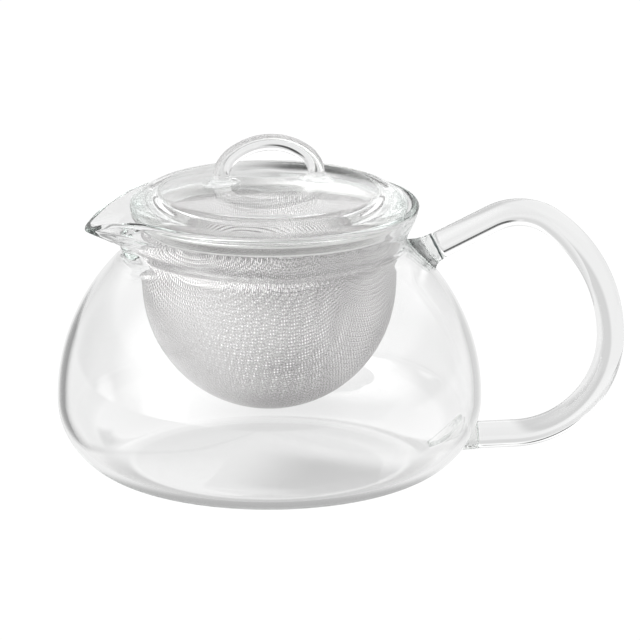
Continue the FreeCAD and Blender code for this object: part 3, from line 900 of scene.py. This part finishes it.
@dataclass
class Infuser:
    """The steel collar that hangs in the mouth, and the drawn bowl of woven wire under it."""

    sheet: SteelFinish
    wire: SteelFinish
    collar_inner: float = 33.7
    collar_outer: float = 35.8
    collar_bottom: float = 70.0
    collar_fold: float = 70.3
    collar_sheet: float = 0.5
    flare_height: float = 70.6
    edge_radius: float = 38.2
    edge_height: float = 73.7
    flange: float = 0.7
    ledge: float = 0.9
    bowl_radius: float = 34.75
    bowl_bottom: float = 18.3
    bowl_height: float = 54.0
    side_bend: float = 42.0
    groove_height: float = 61.2
    groove_half: float = 1.6
    groove_depth: float = 1.1
    pitch: float = 1.03
    wire_radius: float = 0.19
    wire_rounding: int = 1
    fewest_crossings: int = 2
    steps: int = 192
    fold_angle: float = 0.35
    fold_round: float = 0.16
    fold_segments: int = 3

    def __post_init__(self) -> None:
        """Works out the bowl's bottom bend, which runs into its side bend."""
        inset = self.bowl_radius - self.side_bend
        deep = self.bowl_height - self.bowl_bottom
        self.side_x = inset
        self.low_bend = (self.side_bend**2 - inset**2 - deep**2) / (2 * (self.side_bend - deep))
        self.low_z = self.bowl_bottom + self.low_bend
        self.meeting = atan2(self.bowl_height - self.low_z, -inset)
        self.low_length = self.low_bend * (pi / 2 - self.meeting)
        self.side_length = self.side_bend * self.meeting

    def wall_point(self, length: float) -> Triple:
        """A point of the bowl's half section.

        Args:
            length: the distance from the middle of the bottom, along the wall.

        Returns:
            Its radius, its height and the slope of its outward normal.
        """
        if length < self.low_length:
            slope = length / self.low_bend - pi / 2
            return self.low_bend * cos(slope), self.low_z + self.low_bend * sin(slope), slope
        length -= self.low_length
        if length < self.side_length:
            slope = length / self.side_bend - self.meeting
            out, up = self.side_bend * cos(slope), self.side_bend * sin(slope)
            return self.side_x + out, self.bowl_height + up, slope
        height = self.bowl_height + length - self.side_length
        off = min(abs(height - self.groove_height) / self.groove_half, 1.0)
        return self.bowl_radius - self.groove_depth * (0.5 + 0.5 * cos(pi * off)), height, 0.0

    def woven_point(self, u: float, v: float, lift: float) -> Vector:
        """Where a crossing of the flat wire cloth goes when it is drawn to the bowl.

        Args:
            u: the crossing's place across the cloth.
            v: the crossing's place along the cloth.
            lift: how far the wire passes outside the cloth's middle.

        Returns:
            The point.
        """
        radius, height, slope = self.wall_point(hypot(u, v))
        angle = atan2(v, u)
        radius += lift * cos(slope)
        return Vector((radius * cos(angle), radius * sin(angle), height + lift * sin(slope)))

    def weave(self, name: str, is_warp: bool, material: bpy.types.Material, *nodes: str) -> None:
        """Makes the wires of one direction, each over and under the wires that it crosses.

        Args:
            name: the piece's name.
            is_warp: whether the wires run along the cloth.
            material: the wire's finish.
            nodes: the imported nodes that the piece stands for.
        """
        size = self.low_length + self.side_length + self.collar_fold - self.bowl_height
        count = int(size / self.pitch)
        curve = bpy.data.curves.new(name, "CURVE")
        curve.dimensions = "3D"
        curve.bevel_depth = self.wire_radius * METRES
        curve.bevel_resolution = self.wire_rounding
        curve.use_fill_caps = True
        for line in range(-count, count):
            across = (line + 0.5) * self.pitch
            half = sqrt(max(size**2 - across**2, 0.0))
            reach = int(half / self.pitch - 0.5)
            if reach < self.fewest_crossings:
                continue
            points = []
            for cross in range(-reach - 1, reach + 1):
                along = (cross + 0.5) * self.pitch
                lift = self.wire_radius * (1 if (line + cross + is_warp) % 2 else -1)
                u, v = (across, along) if is_warp else (along, across)
                points.append(self.woven_point(u, v, lift) * METRES)
            spline = curve.splines.new("POLY")
            spline.points.add(len(points) - 1)
            for point, place in zip(spline.points, points):
                point.co = (*place, 1.0)
        holder = placed(f"{name}_line", curve)
        data = bpy.data.meshes.new_from_object(holder.evaluated_get(bpy.context.evaluated_depsgraph_get()))
        data.name = name
        bpy.data.objects.remove(holder)
        piece(name, data, material, Body.INFUSER, Slot.MESH, *nodes)

    def build(self) -> None:
        """Turns the collar from its folded section, and weaves the bowl."""
        inner, outer, bottom = self.collar_inner, self.collar_outer, self.collar_bottom
        slot_in, slot_out = inner + self.collar_sheet, outer - self.collar_sheet
        edge_low, edge_in = self.edge_height - self.flange, self.edge_radius - self.flange
        inner_top = self.flare_height + self.collar_sheet
        pen = Pen(inner, bottom)
        for x, z in (
            (slot_in, bottom), (slot_in, self.collar_fold), (slot_out, self.collar_fold), (slot_out, bottom),
            (outer, bottom), (outer, self.flare_height), (self.edge_radius, edge_low),
            (self.edge_radius, self.edge_height), (edge_in, self.edge_height),
            (inner + self.ledge, inner_top), (inner, inner_top), (inner, bottom),
        ):
            pen.line(x, z)
        mesh = pen.turned(self.steps)
        folds = [edge for edge in mesh.edges if edge.calc_face_angle(0.0) > self.fold_angle]
        rounded(mesh, folds, self.fold_round, self.fold_segments)
        piece("infuser_collar_steel", mesh, self.sheet.material(), Body.INFUSER, Slot.SHEET, "infuser_collar")
        wire = self.wire.material()
        self.weave("infuser_warp", True, wire, "infuser_mesh")
        self.weave("infuser_weft", False, wire)


@dataclass
class Lid:
    """The pressed glass lid with its locating skirt, and the glass loop welded on it."""

    finish: GlassFinish
    seat: float = 74.0
    crown: float = 8.5
    dome_radius: float = 210.0
    thickness: float = 3.0
    plateau: float = 33.6
    radius: float = 38.5
    edge: float = 2.4
    skirt_outer: float = 33.2
    skirt_inner: float = 30.6
    skirt_depth: float = 2.8
    shoulder_round: float = 3.2
    edge_round: float = 1.0
    seat_round: float = 0.4
    round_segments: int = 8
    loop_radius: float = 2.3
    loop_half: float = 13.3
    loop_side: float = 7.5
    loop_foot: float = 9.4
    loop_top: float = 18.9
    loop_sides: int = 40
    loop_round: float = 0.25
    side_steps: int = 20
    top_steps: int = 48
    foot_weld: Weld = Weld(2.45, 5.4, 0.3, 0.4, 6.0, 48)
    steps: int = 256
    dome_steps: int = 24

    def top_at(self, radius: float) -> float:
        """Returns the height of the domed top at a radius."""
        return self.seat + self.crown - self.dome_radius + sqrt(self.dome_radius**2 - radius**2)

    def gap(self, point: Vector) -> float:
        """Returns how far a point lies above the domed top."""
        return point.z - self.top_at(hypot(point.x, point.y))

    def turned_lid(self) -> BMesh:
        """Draws the lid's section with sharp corners, rounds them and turns it.

        Returns:
            The lid's mesh, in place.
        """
        seat, under = self.seat, self.dome_radius - self.thickness
        sink = under - sqrt(under**2 - self.skirt_inner**2)
        roof = seat + self.crown - self.thickness
        centre = seat + self.crown - self.dome_radius
        pen = Pen(0.0, seat + self.crown)
        pen.arc(0.0, centre, -degrees(asin(self.plateau / self.dome_radius)), self.dome_steps)
        corners = {pen.tip: self.shoulder_round}
        inner, outer, low, edge = self.skirt_inner, self.skirt_outer, seat - self.skirt_depth, self.edge_round
        for x, z, rounding in (
            (self.radius, seat + self.edge, edge), (self.radius, seat, edge), (outer, seat, self.seat_round),
            (outer, low, edge), (inner, low, edge), (inner, roof - sink, edge),
        ):
            pen.line(x, z)
            corners[pen.tip] = rounding
        pen.arc(0.0, centre, degrees(asin(self.skirt_inner / under)), self.dome_steps)
        for corner, rounding in corners.items():
            rounded(pen.mesh, [corner], rounding, self.round_segments, Rounding.CORNERS)
        return pen.turned(self.steps)

    def build(self) -> None:
        """Makes the lid, its loop and the loop's two feet."""
        material = self.finish.material()
        piece("lid_glass", self.turned_lid(), material, Body.LID, Slot.GLASS, "lid_dome")
        foot, tall = self.seat + self.loop_foot, self.loop_top - self.loop_foot
        inset = self.loop_half - self.loop_side
        bend = (inset**2 + tall**2 - self.loop_side**2) / (2 * (tall - self.loop_side))
        crest = self.seat + self.loop_top - bend
        knee = degrees(atan2(foot - crest, inset))
        end = Vector((-self.loop_half, 0.0, foot))
        rod = Rod(end, 90.0, self.loop_radius, self.loop_sides)
        rod.bend(-inset, foot, -knee, self.side_steps)
        rod.bend(0.0, crest, 2 * knee - 180.0, self.top_steps)
        rod.bend(inset, foot, -knee, self.side_steps)
        piece("lid_loop_glass", rod.capped(self.loop_round), material, Body.LID, Slot.GLASS, "lid_loop")
        feet = self.foot_weld.mesh(end, Vector((0.0, 0.0, -1.0)), self.gap)
        other = bmesh.ops.duplicate(feet, geom=[*feet.verts, *feet.edges, *feet.faces])["geom"]
        bmesh.ops.scale(feet, vec=(-1.0, 1.0, 1.0), verts=only(other, BMVert))
        bmesh.ops.recalc_face_normals(feet, faces=only(other, BMFace))
        piece("lid_loop_feet", feet, material, Body.LID, Slot.GLASS, "lid_loop_welds")


# Studio


@dataclass(frozen=True)
class Glow:
    """A round soft light far away, or a soft dark field where its strength is negative.

    Its azimuth is counted to the right from the camera's. The core and the edge are the angles from its
    middle where it starts to fade and where it ends.
    """

    azimuth: float
    elevation: float
    core: float
    edge: float
    strength: float


@dataclass(frozen=True)
class Card:
    """A card with soft edges, hung behind the pot and seen only in glass and steel.

    Its place is counted from the pot's axis, as the camera sees it: to the right, away and up.
    """

    name: str
    place: Triple
    width: float
    height: float
    tilt: float
    tone: float
    only_mirrored: bool = False


@dataclass
class Studio:
    """A white floor, a table top and cards that only glass and steel show, and a surround with glows."""

    facing: float
    plane_steps: int = 4
    floor_size: float = 12.0
    floor_height: float = -0.0004
    floor_glow: float = 1.04
    table_glow: float = 0.87
    table_size: float = 1.2
    shade_root: float = 0.059
    shade_start: Span = (0.18, 0.28)
    shade_end: Span = (0.75, 0.5)
    shade_depth: Span = (0.6, 0.25)
    shade_sides: Span = (-0.02, 0.02)
    shade_front: float = 0.03
    shade_least: float = 0.02
    # Painted shadow: a dark ring on the table round the pot's foot, deeper towards the front.
    foot_shadow_start: Span = (0.0385, 0.041)
    foot_shadow_end: Span = (0.052, 0.046)
    foot_shadow_side: Span = (0.01, -0.025)
    foot_shadow_depth: float = 0.5
    # Painted shade: a darker disc on the table under the pot's foot.
    under: Span = (0.039, 0.037)
    under_shade_depth: float = 0.09
    heights: tuple[Span, ...] = (
        (-1.0, 0.87), (0.2, 0.87), (0.29, 0.9), (0.36, 1.3), (0.6, 1.1), (1.0, 0.6),
    )
    wall_side: Span = (0.4, 0.8)
    wall_low: Span = (-0.1, 0.1)
    wall_top: Span = (0.3, 0.2)
    wall_depth: float = 0.2
    bounces: int = 64
    card_fade: Span = (0.5, 0.2)
    cards: tuple[Card, ...] = (
        Card("backdrop_right", (0.034, 0.24, 0.102), 0.11, 0.05, 25.0, 0.05),
        Card("backdrop_dark", (-0.012, 0.24, 0.173), 0.1, 0.04, 0.0, 0.05, True),
        Card("backdrop_bright", (0.0, 0.25, 0.24), 0.4, 0.13, 0.0, 1.9, True),
    )
    glows: tuple[Glow, ...] = (
        Glow(-60.0, 4.0, 2.0, 17.0, 1.6), Glow(-101.0, -3.0, 1.0, 10.0, 1.4),
        Glow(-50.0, 36.0, 5.0, 55.0, 2.4), Glow(106.0, 5.0, 8.0, 28.0, -0.35),
        Glow(-116.0, 5.0, 8.0, 28.0, -0.35), Glow(0.0, 12.0, 15.0, 50.0, -0.75),
    )

    def plane(self, name: str, width: float, depth: float, nodes: Nodes, shown: bool) -> bpy.types.Object:
        """Lays a plane at the origin, as a part of the stage.

        Args:
            name: the plane's name.
            width: its size along X.
            depth: its size along Y.
            nodes: its material.
            shown: whether the camera sees it; otherwise only glass and steel show it.

        Returns:
            The plane.
        """
        mesh = bmesh.new()
        bmesh.ops.create_grid(mesh, x_segments=self.plane_steps, y_segments=self.plane_steps, size=0.5)
        bmesh.ops.scale(mesh, vec=(width, depth, 1.0), verts=mesh.verts[:])
        made = placed(name, meshed(name, mesh))
        made.data.materials.append(nodes.material)
        made.visible_camera = made.visible_diffuse = made.visible_shadow = shown
        made.visible_transmission = made.visible_glossy = not shown
        return made

    def lit(self, name: str, level: float) -> Nodes:
        """A dull finish that shines by itself.

        Args:
            name: the material's name.
            level: how brightly it shines.

        Returns:
            The material's nodes.
        """
        nodes = Nodes(name)
        nodes.shade(
            Base_Color=(0.0, 0.0, 0.0, 1.0), Specular_IOR_Level=0.0, Emission_Color=(*WHITE, 1.0),
            Emission_Strength=level,
        )
        return nodes

    def floor(self) -> None:
        """Lays the white floor that stands behind and under the object in the picture."""
        nodes = self.lit("white_floor", self.floor_glow)
        self.plane("floor", self.floor_size, self.floor_size, nodes, True).location.z = self.floor_height

    def table(self) -> None:
        """Lays the lit table top, with a shade on each side that draws the glass's edges, a painted shadow ring
        round the pot's foot and painted shade under the foot.
        """
        nodes = self.lit("lit_table", self.table_glow)
        place = nodes.place()
        parts, radius = nodes.split(place), nodes.length(place)
        across, away = parts["X"], parts["Y"]
        past = nodes.sum("SUBTRACT", nodes.sum("ABSOLUTE", across), self.shade_root)
        back = nodes.sum("MAXIMUM", nodes.sum("ADD", away, self.shade_front), self.shade_least)
        slope = nodes.sum("DIVIDE", past, back)
        band = nodes.sum("MULTIPLY", nodes.step(slope, *self.shade_start), nodes.step(slope, *self.shade_end))
        shade = nodes.sum("MULTIPLY", band, nodes.step(across, *self.shade_sides, *self.shade_depth))
        # Painted shadow ring round the pot's foot, deeper at the front.
        ring = nodes.sum("MULTIPLY", nodes.step(radius, *self.foot_shadow_start), nodes.step(radius, *self.foot_shadow_end))
        front = nodes.step(away, *self.foot_shadow_side, 0.0, self.foot_shadow_depth)
        dark = nodes.sum("MAXIMUM", shade, nodes.sum("MULTIPLY", ring, front))
        # Painted shade on the disc under the pot's foot.
        dark = nodes.sum("ADD", dark, nodes.step(radius, *self.under, 0.0, self.under_shade_depth))
        level = nodes.sum("MULTIPLY", nodes.sum("SUBTRACT", 1.0, dark), self.table_glow)
        nodes.shade(Emission_Strength=level)
        made = self.plane("table", self.table_size, self.table_size, nodes, False)
        made.location.z = self.floor_height
        made.rotation_euler.z = radians(self.facing)

    def hang_cards(self) -> None:
        """Hangs the cards behind the pot, in their own tone that fades to the table's at their edges."""
        turn = Matrix.Rotation(radians(self.facing), 4, "Z")
        upright = Matrix.Rotation(pi / 2, 4, "X")
        for card in self.cards:
            nodes = self.lit(card.name, card.tone)
            parts = nodes.split(nodes.place())
            cover = 1.0
            for axis, size in (("X", card.width), ("Y", card.height)):
                off, fade = nodes.sum("ABSOLUTE", parts[axis]), (share * size for share in self.card_fade)
                cover = nodes.sum("MULTIPLY", nodes.step(off, *fade), cover)
            level = nodes.sum("MULTIPLY_ADD", cover, card.tone - self.table_glow, self.table_glow)
            nodes.shade(Emission_Strength=level)
            made = self.plane(card.name, card.width, card.height, nodes, False)
            tilt = Matrix.Rotation(radians(card.tilt), 4, "Z")
            made.matrix_world = turn @ Matrix.Translation(card.place) @ upright @ tilt
            made.visible_transmission = not card.only_mirrored

    def surround(self) -> None:
        """Lights the room by height, with a grey wall behind the pot, and adds the glows."""
        world = bpy.data.worlds.new("surround")
        bpy.context.scene.world = world
        world.use_nodes = True
        tree = Tree(world.node_tree)
        place = tree.add("ShaderNodeTexCoord").outputs["Generated"]
        up = tree.split(place)["Z"]
        ramp = tree.add("ShaderNodeValToRGB", in_Fac=tree.sum("MULTIPLY_ADD", up, 0.5, 0.5))
        elements = ramp.color_ramp.elements
        for height, _ in self.heights[1:-1]:
            elements.new(height / 2 + 0.5)
        for element, (_, value) in zip(elements, self.heights):
            element.color = (value, value, value, 1.0)
        behind = tree.towards(place, bearing(self.facing + 180.0, 0.0))
        wall = tree.sum("MULTIPLY", tree.step(up, *self.wall_low), tree.step(up, *self.wall_top))
        wall = tree.sum("MULTIPLY", wall, tree.step(behind, *self.wall_side))
        grey = tree.sum("MULTIPLY_ADD", wall, -self.wall_depth, 1.0)
        total = tree.sum("MULTIPLY", ramp.outputs["Color"], grey)
        for glow in self.glows:
            towards = tree.towards(place, bearing(self.facing + glow.azimuth, glow.elevation))
            edge, core = (cos(radians(angle)) for angle in (glow.edge, glow.core))
            total = tree.sum("ADD", total, tree.step(towards, edge, core, 0.0, glow.strength))
        tree.fill(world.node_tree.nodes["Background"].inputs["Color"], total)

    def build(self) -> None:
        """Sets up floor, table, cards, surround and the way that light and tones are shown."""
        self.floor()
        self.table()
        self.hang_cards()
        self.surround()
        scene = bpy.context.scene
        scene.view_settings.view_transform = "Standard"
        scene.cycles.max_bounces = self.bounces
        scene.cycles.transmission_bounces = self.bounces
        scene.cycles.glossy_bounces = self.bounces


@dataclass
class Camera:
    """A long lens at the height from which the pot is looked at."""

    azimuth: float = -9.0
    elevation: float = 15.5
    distance: float = 1.5
    target: Triple = (0.0, 0.0, 0.040)
    aim_right: float = 0.01407
    aim_up: float = 0.00203
    lens: float = 303.75
    sensor: float = 36.0
    clips: Span = (0.05, 50.0)

    def build(self) -> None:
        """Places the camera and makes it the scene's."""
        data = bpy.data.cameras.new("view")
        data.lens, data.sensor_width = self.lens, self.sensor
        data.clip_start, data.clip_end = self.clips
        made = placed("view", data)
        back, right = bearing(self.azimuth, self.elevation), bearing(self.azimuth + 90.0, 0.0)
        target = Vector(self.target)
        made.location = target + back * self.distance
        aim = target + right * self.aim_right + right.cross(-back) * self.aim_up
        made.rotation_mode = "QUATERNION"
        made.rotation_quaternion = (aim - made.location).to_track_quat("-Z", "Y")
        bpy.context.scene.camera = made


def main() -> None:
    """Builds the teapot's pieces, the studio and the camera."""
    logging.basicConfig(level=logging.INFO, format="%(name)s: %(message)s")
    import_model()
    clear = ((0.90, 0.97, 0.94), 4.5)
    blown = GlassFinish("blown_glass", *clear, 0.03, 0.05)
    pressed = GlassFinish("pressed_glass", *clear, 0.018, 0.4)
    drawn = GlassFinish("drawn_glass", *clear, 0.02, 0.04)
    # Upper foot: a near-black ring in its base colour, near where the rod meets it.
    ringed = RingedGlass(
        "ringed_weld_glass", (0.55, 0.66, 0.6), 16.0, 0.003, 0.5, direction=(0.906, 0.0, 0.423), ring=0.0684
    )
    cracked = GlassFinish("cracked_weld_glass", (0.75, 0.77, 0.75), 60.0, 0.0012, 1.0)
    sheet = SteelFinish("turned_steel", (0.85, 0.85, 0.84), 0.16, 0.34, 0.0004, 0.15)
    wire = SteelFinish("wire_steel", (0.76, 0.75, 0.75), 0.1, 0.18, 0.0015, 0.05)
    camera = Camera()
    camera.build()
    pot = PotBody(blown)
    pot.build()
    Handle(drawn, ringed, cracked, pot).build()
    Infuser(sheet, wire).build()
    Lid(pressed).build()
    Studio(camera.azimuth).build()


if __name__ == "__main__":
    main()
